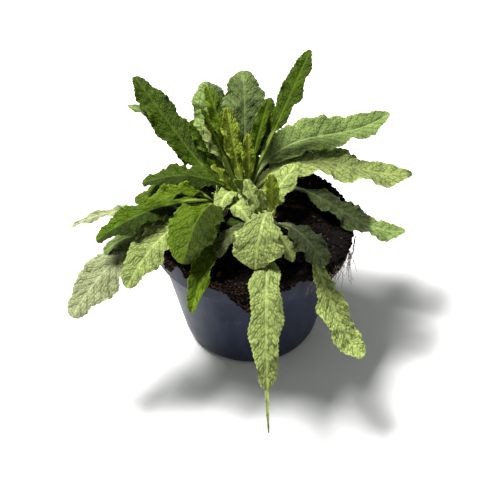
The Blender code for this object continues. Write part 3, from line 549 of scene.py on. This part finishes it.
def crownTree():  # small leaves in a spiral, 137.5 degrees apart
    add, given, result = newTree("openingCrown", (
        "Radius", "Height", "Spread", "Length", "Width", "Thickness"), ["Count", "Seed"])
    block = add("MeshCube", [(1.0, 1.0, 1.0), 7, 12, 2])
    spot = add("InputPosition")
    axes = add("SeparateXYZ", [spot], out=None).outputs
    up = add("Math", [axes["Y"], 0.5], "ADD")  # 0 at the base, 1 at the tip
    swell = add("Math", [up, 2.9, 0.22], "MULTIPLY_ADD")
    bow = add("Math", [swell], "SINE")
    broad = add("Math", [bow, given["Width"]], "MULTIPLY")
    across = add("Math", [axes["X"], broad], "MULTIPLY")
    fold = add("Math", [across], "ABSOLUTE")
    deep = add("Math", [axes["Z"], given["Thickness"]], "MULTIPLY")
    arch = add("Math", [up, up], "MULTIPLY")
    lean = add("Math", [arch, given["Length"]], "MULTIPLY")
    bent = add("Math", [lean, -0.35, deep], "MULTIPLY_ADD")
    front = add("Math", [fold, 0.8, bent], "MULTIPLY_ADD")
    along = add("Math", [up, given["Length"]], "MULTIPLY")
    shaped = add("CombineXYZ", [across, front, along])
    leaf = add("SetPosition", {"Geometry": block, "Position": shaped})
    marked = add("StoreNamedAttribute", {"Geometry": leaf, "Name": "height", "Value": up})

    index = add("InputIndex")
    turn = add("Math", [index, 2.39996], "MULTIPLY")
    share = add("Math", [index, given["Count"]], "DIVIDE")
    out = add("Math", [share], "SQRT")
    reach = add("Math", [out, given["Spread"]], "MULTIPLY")
    radius = add("Math", [reach, given["Radius"]], "MULTIPLY")
    x, y = (add("Math", [add("Math", [turn], way), radius], "MULTIPLY") for way in ("COSINE", "SINE"))
    square = add("Math", [reach, reach], "MULTIPLY")
    low = add("Math", [1.0, square], "SUBTRACT")
    dome = add("Math", [low], "SQRT")
    z = add("Math", [dome, given["Height"]], "MULTIPLY")
    sunk = add("Math", [z, 0.0015], "SUBTRACT")
    seat = add("CombineXYZ", [x, y, sunk])
    points = add("Points", {"Count": given["Count"], "Position": seat})
    tilt = add("Math", [share, -0.95], "MULTIPLY")
    facing = add("Math", [turn, 1.5708], "ADD")
    jitter = add("RandomValue", {0: (-0.15, -0.2, -0.3), 1: (0.15, 0.2, 0.3), "Seed": given["Seed"]},
                 data_type="FLOAT_VECTOR")
    spin = add("CombineXYZ", [tilt, 0.0, facing])
    aim = add("VectorMath", [spin, jitter], "ADD")
    size = add("RandomValue", {2: 0.55, 3: 1.1, "Seed": given["Seed"]}, out=1)
    turned = add("EulerToRotation", [aim])
    ring = add("InstanceOnPoints", {"Points": points, "Instance": marked, "Rotation": turned, "Scale": size})
    real = add("RealizeInstances", [ring])
    even = add("SetShadeSmooth", [real])
    join = add("JoinGeometry", [given["Geometry"]], out=None)
    setInputs(join, [even])  # a joining socket takes both links
    return endTree(given, result, join.outputs[0])


def buildCrown(name, seed):  # the dome itself, ridged by the stalk bases that it is made of
    radius, height = crowns[name][2:]
    sides = 96
    turns = np.linspace(0, 2 * np.pi, sides, endpoint=False)
    rings = [(0.6, -0.5), (0.6, 0.0)] + [(math.cos(a), math.sin(a)) for a in np.radians(np.arange(4, 86, 6))]
    points = []
    for r, h in rings:
        ridge = 1 - 0.05 * np.abs(np.sin(4.5 * turns + 3 * max(h, 0) + seed)) * (h > 0)
        points.append(np.stack([radius * r * ridge * np.cos(turns), radius * r * ridge * np.sin(turns),
                                np.full_like(turns, height * h)], 1))
    piece = addPiece("crown-" + name, np.concatenate(points), tubeFaces(len(rings), sides))
    piece.data.shade_smooth()
    piece["crown"], piece["seed"] = name, seed
    return piece


budMaterial = crownMaterial()
domes = [buildCrown(name, seed) for seed, name in enumerate(crowns, 71)]
grow(domes, crownTree(), lambda piece: {
    **{label: buds[label.lower()] for label in ("Count", "Spread", "Length", "Width", "Thickness")},
    "Radius": crowns[piece["crown"]][2], "Height": crowns[piece["crown"]][3], "Seed": piece["seed"],
    "Material": budMaterial,
})
for piece in domes:
    piece.data.transform(Matrix.Translation((*crowns[piece["crown"]][:2], crownBase)))
    dress(piece, "crown", "crown_" + piece["crown"])
print("crowns:", len(domes), "with", sum(len(piece.data.polygons) for piece in domes), "faces")


# Pot: outer sizes as the solid has them, with the rounded lip and bends of a thin moulding
pot = {
    "height": 0.120, "rim": 0.085, "collar": 0.021, "bodyTop": 0.080, "bodyFoot": 0.0615,  # m
    "footBend": 0.0075, "ring": (0.049, 0.055), "recess": 0.0025, "pad": 0.015, "wall": 0.0016,
    "sides": 180, "holes": 8, "holeCircle": 0.034, "holeRadius": 0.0045,
    "plastic": "#1e2333", "worn": "#2f384d", "dust": "#7d7a72", "soiled": "#5a4a3c",
}


def softened(profile, steps=4):  # each (radius, height, rounding) corner as a short bend
    bends = []
    for i, (r, z, soft) in enumerate(profile):
        here = np.array([r, z])
        if soft == 0:
            bends.append(here)
            continue
        before, after = np.array(profile[i - 1][:2]), np.array(profile[i + 1][:2])
        first = here + (before - here) / np.linalg.norm(before - here) * soft
        last = here + (after - here) / np.linalg.norm(after - here) * soft
        for t in np.linspace(0, 1, steps + 1):
            bends.append((1 - t) ** 2 * first + 2 * t * (1 - t) * here + t ** 2 * last)
    return bends


def buildPot():
    top, wall, rim = pot["height"], pot["wall"], pot["rim"]
    collar = top - pot["collar"]
    lift = pot["recess"]
    floor = lift + wall
    inner, outer = pot["ring"]
    profile = [
        (0, 0, 0), (pot["pad"], 0, 0.0006), (pot["pad"] + 0.002, lift, 0.0008), (inner - 0.002, lift, 0.0008),
        (inner, 0, 0.0006), (outer, 0, 0.0008), (outer + 0.0035, 0.0018, 0.0015),
        (pot["bodyFoot"], pot["footBend"], 0.0035), (pot["bodyTop"] - 0.0003, collar - 0.0015, 0.0006),
        (rim - 0.0004, collar - 0.0004, 0.0005), (rim, collar + 0.0008, 0.0005), (rim, top - 0.0007, 0.0006),
        (rim - wall / 2, top, 0.0005), (rim - wall, top - 0.0007, 0.0005), (rim - wall, collar + wall, 0.0005),
        (pot["bodyTop"] - wall, collar, 0.0005), (pot["bodyFoot"] - wall, pot["footBend"], 0.003),
        (outer + 0.001, floor, 0.002), (0, floor, 0),
    ]
    work = bmesh.new()
    line = [work.verts.new((r, 0, z)) for r, z in softened(profile)]
    edges = [work.edges.new(pair) for pair in zip(line, line[1:])]
    bmesh.ops.spin(work, geom=line + edges, cent=(0, 0, 0), axis=(0, 0, 1), angle=2 * math.pi,
                   steps=pot["sides"])
    piece = cleanPiece("nursery-pot", work)
    drill = bmesh.new()
    for i in range(pot["holes"]):  # between the pad and the foot ring
        turn = 2 * math.pi * (i + 0.5) / pot["holes"]
        made = bmesh.ops.create_cone(drill, cap_ends=True, segments=32, radius1=pot["holeRadius"],
                                     radius2=pot["holeRadius"], depth=floor + 0.004)
        spot = (pot["holeCircle"] * math.cos(turn), pot["holeCircle"] * math.sin(turn), floor / 2)
        bmesh.ops.translate(drill, verts=made["verts"], vec=spot)
    cutter = addPiece("drill", [], [])
    drill.to_mesh(cutter.data)
    drill.free()
    boolean = piece.modifiers.new("drain holes", "BOOLEAN")
    boolean.operation, boolean.solver, boolean.object = "DIFFERENCE", "EXACT", cutter
    made = bpy.data.meshes.new_from_object(piece.evaluated_get(bpy.context.evaluated_depsgraph_get()))
    piece.modifiers.clear()
    piece.data = made
    bpy.data.objects.remove(cutter)
    made.shade_smooth()
    made.set_sharp_from_angle(angle=math.radians(50))
    return piece


def potMaterial():
    # Injection-moulded recycled polypropylene: dull blue-black, faint flow streaks and orange peel from the
    # mould, soft sheen where light grazes it, dried water marks and dust specks, scuffs on the lip and foot
    material, add, shader = newMaterial("moulded blue-black polypropylene")
    place = add("TexCoord", out="Object")
    axes = add("SeparateXYZ", [place], out=None).outputs
    tall = add("VectorMath", [place, (1.0, 1.0, 0.12)], "MULTIPLY")
    streak = add("TexNoise", {"Vector": tall, "Scale": 130.0, "Detail": 4.0})
    cloudy = add("TexNoise", {"Vector": place, "Scale": 28.0, "Detail": 5.0})
    mixed = add("Math", [streak, cloudy], "MULTIPLY")
    faded = add("MapRange", [mixed, 0.18, 0.42, 0.0, 0.6])
    body = add("MixRGB", [faded, pot["plastic"], pot["worn"]])
    speck = add("TexVoronoi", {"Vector": place, "Scale": 330.0})  # 3 mm apart
    patchy = add("TexNoise", {"Vector": place, "Scale": 55.0, "Detail": 2.0})
    sparse = add("MapRange", [patchy, 0.48, 0.7, 0.0, 0.16])
    near = add("Math", [speck, sparse], "LESS_THAN")
    dusty = add("Math", [near, 0.55], "MULTIPLY")
    spotted = add("MixRGB", [dusty, body, pot["dust"]])
    soiled = add("MapRange", [axes["Z"], 0.112, 0.121, 0.0, 0.35])
    grime = add("Math", [soiled, cloudy], "MULTIPLY")
    rimmed = add("MixRGB", [grime, spotted, pot["soiled"]])
    rough = add("MapRange", [cloudy, 0.3, 0.7, 0.36, 0.52])
    scratch = add("VectorMath", [place, (1.0, 1.0, 9.0)], "MULTIPLY")
    lines = add("TexNoise", {"Vector": scratch, "Scale": 190.0, "Detail": 2.0})
    peel = add("TexNoise", {"Vector": place, "Scale": 900.0, "Detail": 1.0})
    relief = add("Math", [lines, 0.5, peel], "MULTIPLY_ADD")
    bump = add("Bump", {"Height": relief, "Strength": 0.25, "Distance": 0.0002})
    setInputs(shader, {"Base Color": rimmed, "Normal": bump, "Roughness": rough, "Specular IOR Level": 0.14})
    return material


potPiece = buildPot()
potPiece.data.materials.clear()
potPiece.data.materials.append(potMaterial())
dress(potPiece, "pot_plastic", "nursery_pot")
print("pot:", len(potPiece.data.polygons), "faces")


# Soil: the solid's own surface, broken up, then crumbs, bark chips and roots on its open part
soil = {
    "level": 0.1175, "overRim": 0.0852, "lump": 0.0017, "lumpScale": 170,  # m, and 1/m
    "crumbs": 90000, "crumbSizes": (0.0006, 0.0021), "grit": 22000, "gritSizes": (0.0003, 0.0008),
    "chips": 1500, "chipSizes": (0.0011, 0.0030),
    "spilt": [  # spilt on the pot: degrees at top, below; radii; heights
        ((-152, -54), (-152, -54), (0.0852, 0.0822), (0.1204, 0.1200)),
        ((-112, -87), (-94, -88), (0.0853, 0.0853), (0.1202, 0.0920)),
        ((-150, -134), (-146, -138), (0.0853, 0.0853), (0.1202, 0.1060)),
        ((-138, -58), (-134, -64), (0.0853, 0.0853), (0.1204, 0.1120)),
        ((150, 205), (150, 205), (0.0850, 0.0836), (0.1203, 0.1203)),
        ((72, 120), (72, 120), (0.0850, 0.0836), (0.1203, 0.1203)),
    ],
    "spiltMany": 2400000, "spiltSizes": (0.0005, 0.0015),
}


# What lies in the pot: patch and grain are a scale and its detail, relief is a strength and a depth, gloss is
# a roughness and a specular level
earths = {
    # Damp peat and composted bark: no gloss, nearly black brown, partly its own colour and partly painted
    # shade from the leaves above, with lighter dry fibres on the raised bits
    "damp peat compost": dict(
        colours=("#080504", "#1b110d"), stretch=(1.0, 1.0, 1.0), patch=(420.0, 5.0),
        fade=(0.48, 0.72, 0.0, 1.0), grain=(900.0, 4.0), relief=(1.0, 0.0008), gloss=(0.95, 0.1)),
    # Chipped pine bark: red-brown, matt and fibrous, paler where it is freshly broken
    "chipped pine bark": dict(
        colours=("#3a2417", "#86583c"), stretch=(1.0, 3.0, 1.0), patch=(300.0, 4.0),
        fade=(0.45, 0.7, 0.0, 0.8), grain=(300.0, 4.0), relief=(0.7, 0.0005), gloss=(0.85, 0.3)),
    # Young root: pale tan, slightly glassy when damp, soil-stained in places, too thin to show a relief
    "young plant root": dict(
        colours=("#8a6d50", "#3a2417"), stretch=(1.0, 1.0, 1.0), patch=(260.0, 3.0),
        fade=(0.42, 0.62, 0.0, 0.85), gloss=(0.6, 0.4)),
}


def earthMaterial(name):
    look = earths[name]
    material, add, shader = newMaterial(name)
    place = add("TexCoord", out="Object")
    fibres = add("VectorMath", [place, look["stretch"]], "MULTIPLY")
    patch = add("TexNoise", {"Vector": fibres, "Scale": look["patch"][0], "Detail": look["patch"][1]})
    share = add("MapRange", [patch, *look["fade"]])
    tone = add("MixRGB", [share, *look["colours"]])
    roughness, specular = look["gloss"]
    setInputs(shader, {"Base Color": tone, "Roughness": roughness, "Specular IOR Level": specular})
    if "grain" in look:
        grain = add("TexNoise", {"Vector": fibres, "Scale": look["grain"][0], "Detail": look["grain"][1]})
        bump = add("Bump", {"Height": grain, "Strength": look["relief"][0], "Distance": look["relief"][1]})
        setInputs(shader, {"Normal": bump})
    return material


def soilCopy(name):  # the solid's triangles merged, with its open part marked
    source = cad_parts["potting_soil"]
    work = bmesh.new()
    work.from_mesh(source.data)
    work.transform(source.matrix_world)
    piece = cleanPiece(name, work)
    spots = np.array([v.co for v in piece.data.vertices])
    reach = np.hypot(spots[:, 0], spots[:, 1])
    markPoints(piece, "bare", ((spots[:, 2] > soil["level"]) | (reach > soil["overRim"])).astype(float))
    return piece


def soilTree():  # the surface broken into lumps
    add, given, result = newTree("looseSoil", ["Lump", "Lump scale"], ["Level"])
    fine = add("SubdivideMesh", {"Mesh": given["Geometry"], "Level": given["Level"]})
    bare = add("InputNamedAttribute", ["bare"])
    exposed = add("MapRange", [bare, 0.5, 1.0, 0.0, 1.0])
    spot = add("InputPosition")
    lumps = add("TexNoise", {"Vector": spot, "Scale": given["Lump scale"], "Detail": 4.0, "Roughness": 0.7})
    centred = add("Math", [lumps, 0.5], "SUBTRACT")
    sized = add("Math", [centred, given["Lump"]], "MULTIPLY")
    most = add("Math", [sized, 3.0], "MULTIPLY")
    kept = add("Math", [most, exposed], "MULTIPLY")
    normal = add("InputNormal")
    offset = add("VectorMath", {0: normal, "Scale": kept}, "SCALE")
    moved = add("SetPosition", {"Geometry": fine, "Offset": offset})
    even = add("SetShadeSmooth", [moved])
    return endTree(given, result, even)


def scatterTree():  # lumps or chips strewn over the open soil
    add, given, result = newTree("strewnBits", (
        "Per square metre", "Smallest", "Largest", "Flatness", "Stretch", "Patchiness"), ["Seed"])
    bare = add("InputNamedAttribute", ["bare"])
    exposed = add("Math", [bare, 0.97], "GREATER_THAN")
    ground = add("InputPosition")
    patch = add("TexNoise", {"Vector": ground, "Scale": 260.0, "Detail": 4.0})
    middle = add("InputNamedAttribute", ["middle"])
    edge = add("Math", [middle, -0.3, given["Patchiness"]], "MULTIPLY_ADD")  # thinner at the edges
    thick = add("Math", [patch, edge], "GREATER_THAN")
    kept = add("Math", [thick, exposed], "MULTIPLY")
    many = add("Math", [kept, given["Per square metre"]], "MULTIPLY")
    points = add("DistributePointsOnFaces", {"Mesh": given["Geometry"], "Density": many, "Seed": given["Seed"]})
    ball = add("MeshIcoSphere", {"Radius": 1.0, "Subdivisions": 1})
    spot = add("InputPosition")
    rough = add("TexNoise", {"Vector": spot, "Scale": 1.3, "Detail": 1.0}, out=1)
    pushed = add("VectorMath", [rough, (0.5, 0.5, 0.5)], "SUBTRACT")
    strong = add("VectorMath", {0: pushed, "Scale": 1.3}, "SCALE")
    lump = add("SetPosition", {"Geometry": ball, "Offset": strong})
    size = add("RandomValue", {2: given["Smallest"], 3: given["Largest"], "Seed": given["Seed"]}, out=1)
    longest = add("Math", [size, given["Stretch"]], "MULTIPLY")
    thin = add("Math", [size, given["Flatness"]], "MULTIPLY")
    scale = add("CombineXYZ", [longest, size, thin])
    aim = add("RandomValue", {0: (-0.7, -0.7, 0.0), 1: (0.7, 0.7, 6.2832), "Seed": given["Seed"]},
              data_type="FLOAT_VECTOR")
    turned = add("EulerToRotation", [aim])
    bits = add("InstanceOnPoints", {"Points": points, "Instance": lump, "Rotation": turned, "Scale": scale})
    return endTree(given, result, bits)


def spiltPatches(name):  # patches of the rim and wall that crumbs have fallen on
    points, faces, middle = [], [], []  # thickest in the middle of each patch, and near the rim
    rows, columns = 8, 48
    for above, below, radii, heights in soil["spilt"]:
        for row in range(rows + 1):
            down = row / rows
            start, end = (above[i] + (below[i] - above[i]) * down for i in (0, 1))
            r, z = (ends[0] + (ends[1] - ends[0]) * down for ends in (radii, heights))
            for k in range(columns + 1):
                turn = math.radians(start + (end - start) * k / columns)
                points.append((r * math.cos(turn), r * math.sin(turn), z))
                middle.append(min(1, 1.6 * math.sin(math.pi * k / columns)) * (1 - 0.55 * down))
                if row and k:
                    n = len(points)
                    faces.append((n - columns - 3, n - 2, n - 1, n - columns - 2))
    piece = addPiece(name, points, faces)
    markPoints(piece, "bare", [1.0] * len(points))
    markPoints(piece, "middle", middle)
    return piece


peat, bark = earthMaterial("damp peat compost"), earthMaterial("chipped pine bark")
soilPiece = soilCopy("potting-soil")
grow([soilPiece], soilTree(), lambda piece: {
    "Lump": soil["lump"], "Lump scale": float(soil["lumpScale"]), "Level": 3, "Material": peat})
dress(soilPiece, "soil", "potting_soil")
strewn = {  # how many, sizes, flatness, stretch, patchiness, seed, material
    "soil-crumbs": (soil["crumbs"], soil["crumbSizes"], 0.8, 1.0, 0.0, 5, peat),
    "soil-grit": (soil["grit"], soil["gritSizes"], 0.8, 1.2, 0.45, 9, bark),
    "bark-chips": (soil["chips"], soil["chipSizes"], 0.35, 1.8, 0.4, 14, bark),
    "spilt-crumbs": (soil["spiltMany"], soil["spiltSizes"], 0.8, 1.0, 0.64, 21, peat),
    "spilt-bark": (soil["spiltMany"] // 6, soil["spiltSizes"], 0.5, 1.6, 0.67, 27, bark),
}
bits = [(spiltPatches if name.startswith("spilt") else soilCopy)(name) for name in strewn]
grow(bits, scatterTree(), lambda piece: dict(zip(
    ("Per square metre", "Smallest", "Largest", "Flatness", "Stretch", "Patchiness", "Seed", "Material"),
    (float(strewn[piece.name][0]), *strewn[piece.name][1], *strewn[piece.name][2:]))))
for piece in bits:
    dress(piece, "soil")
print("soil:", len(soilPiece.data.polygons), "faces, bits:", [len(piece.data.polygons) for piece in bits])


# Roots: fine threads that hang over the rim at the front right, and a few that lie on the soil
roots = {
    "count": 30, "from": (-62, -10), "length": (0.008, 0.020), "radius": 0.00028,  # degrees, m, m
    "reach": 0.0882, "heights": (0.108, 0.118), "steps": 30, "seed": 3,
    "stray": 7, "strayFrom": (-38, -14), "strayLength": (0.018, 0.032), "strayOut": 0.008,
}


def rootTree():
    add, given, result = newTree("fineRoots", ["Radius"], ["Sides"])
    curve = add("MeshToCurve", [given["Geometry"]])
    place = add("SplineParameter")
    taper = add("MapRange", [place, 0.0, 1.0, 1.0, 0.45])
    ring = add("CurvePrimitiveCircle", {"Resolution": given["Sides"], "Radius": given["Radius"]})
    tube = add("CurveToMesh", {"Curve": curve, "Profile Curve": ring, "Scale": taper, "Fill Caps": True})
    even = add("SetShadeSmooth", [tube])
    return endTree(given, result, even)


def buildRoots():
    rng = np.random.default_rng(roots["seed"])
    points, edges = [], []
    for i in range(roots["count"] + roots["stray"]):
        stray = i >= roots["count"]  # these hang clear of the soil
        turn = math.radians(rng.uniform(*roots["strayFrom" if stray else "from"]))
        reach, high = roots["reach"] + rng.uniform(0, 0.0008), rng.uniform(*roots["heights"])
        length = rng.uniform(*roots["strayLength" if stray else "length"])
        drift, wave = rng.uniform(-0.12, 0.12), rng.uniform(0, 6)
        away = rng.uniform(0.4, 1) * roots["strayOut"] if stray else 0.0004
        for k in range(roots["steps"]):
            share = k / (roots["steps"] - 1)
            wander = 0.022 * math.sin(6 * share + wave) + 0.010 * math.sin(17 * share + 2 * wave)
            t = turn + drift * share + wander * share ** 0.5
            out = reach + away * share ** 1.5 + 0.0008 * math.sin(9 * share + wave) * share
            points.append((out * math.cos(t), out * math.sin(t), high - length * share ** 0.9))
            if k:
                edges.append((len(points) - 2, len(points) - 1))
    return addPiece("fine-roots", points, [], edges)


rootPiece = buildRoots()
rootFinish = earthMaterial("young plant root")
grow([rootPiece], rootTree(), lambda piece: {"Radius": roots["radius"], "Sides": 6, "Material": rootFinish})
dress(rootPiece, "soil")
print("roots:", len(rootPiece.data.polygons), "faces")


# Floor, light and camera
studio = {
    "floor": "#f7f7f5", "floorSize": 30.0,
    "sunTurn": 155, "sunRise": 65, "sunPower": 84, "sunSize": 0.62, "sunAway": 1.8,  # degrees, W, m, m
    "skyPower": 0.27, "sky": "#f2f4f7",
}
photo = {"focal": 757, "size": 480, "distance": 0.66, "rise": 40, "target": (-0.0098, 0.0, 0.0944)}


def aimed(name, data, back, distance):  # stands that far back from the plant, and looks at it
    made = addObject(name, data)
    made.location = Vector(photo["target"]) + back * distance
    made.rotation_mode = "QUATERNION"
    made.rotation_quaternion = (-back).to_track_quat("-Z", "Y")
    return made


def buildStudio():
    size = studio["floorSize"] / 2
    floor = addPiece("floor", [(-size, -size, 0), (size, -size, 0), (size, size, 0), (-size, size, 0)],
                     [(0, 1, 2, 3)])
    paper, _, shader = newMaterial("pale studio paper")
    setInputs(shader, {"Base Color": studio["floor"], "Roughness": 0.9})
    floor.data.materials.append(paper)
    turn, rise = math.radians(studio["sunTurn"]), math.radians(studio["sunRise"])
    toSun = Vector((math.cos(rise) * math.cos(turn), math.cos(rise) * math.sin(turn), math.sin(rise)))
    lamp = bpy.data.lights.new("key", "AREA")
    lamp.energy, lamp.size = studio["sunPower"], studio["sunSize"]
    aimed("key", lamp, toSun, studio["sunAway"])
    world = bpy.data.worlds.new("soft sky")
    world.use_nodes = True
    background = world.node_tree.nodes["Background"]
    setInputs(background, {"Color": studio["sky"], "Strength": studio["skyPower"]})
    bpy.context.scene.world = world
    bpy.context.scene.view_settings.view_transform = "Standard"  # keeps the greens as deep as they are


def buildCamera():
    rise = math.radians(photo["rise"])
    back = Vector((0, -math.cos(rise), math.sin(rise)))
    lens = bpy.data.cameras.new("photo view")
    lens.sensor_width = 36
    lens.lens = photo["focal"] / photo["size"] * lens.sensor_width
    lens.clip_start = 0.01
    bpy.context.scene.camera = aimed("photo view", lens, back, photo["distance"])


buildStudio()
buildCamera()
print("studio ready")
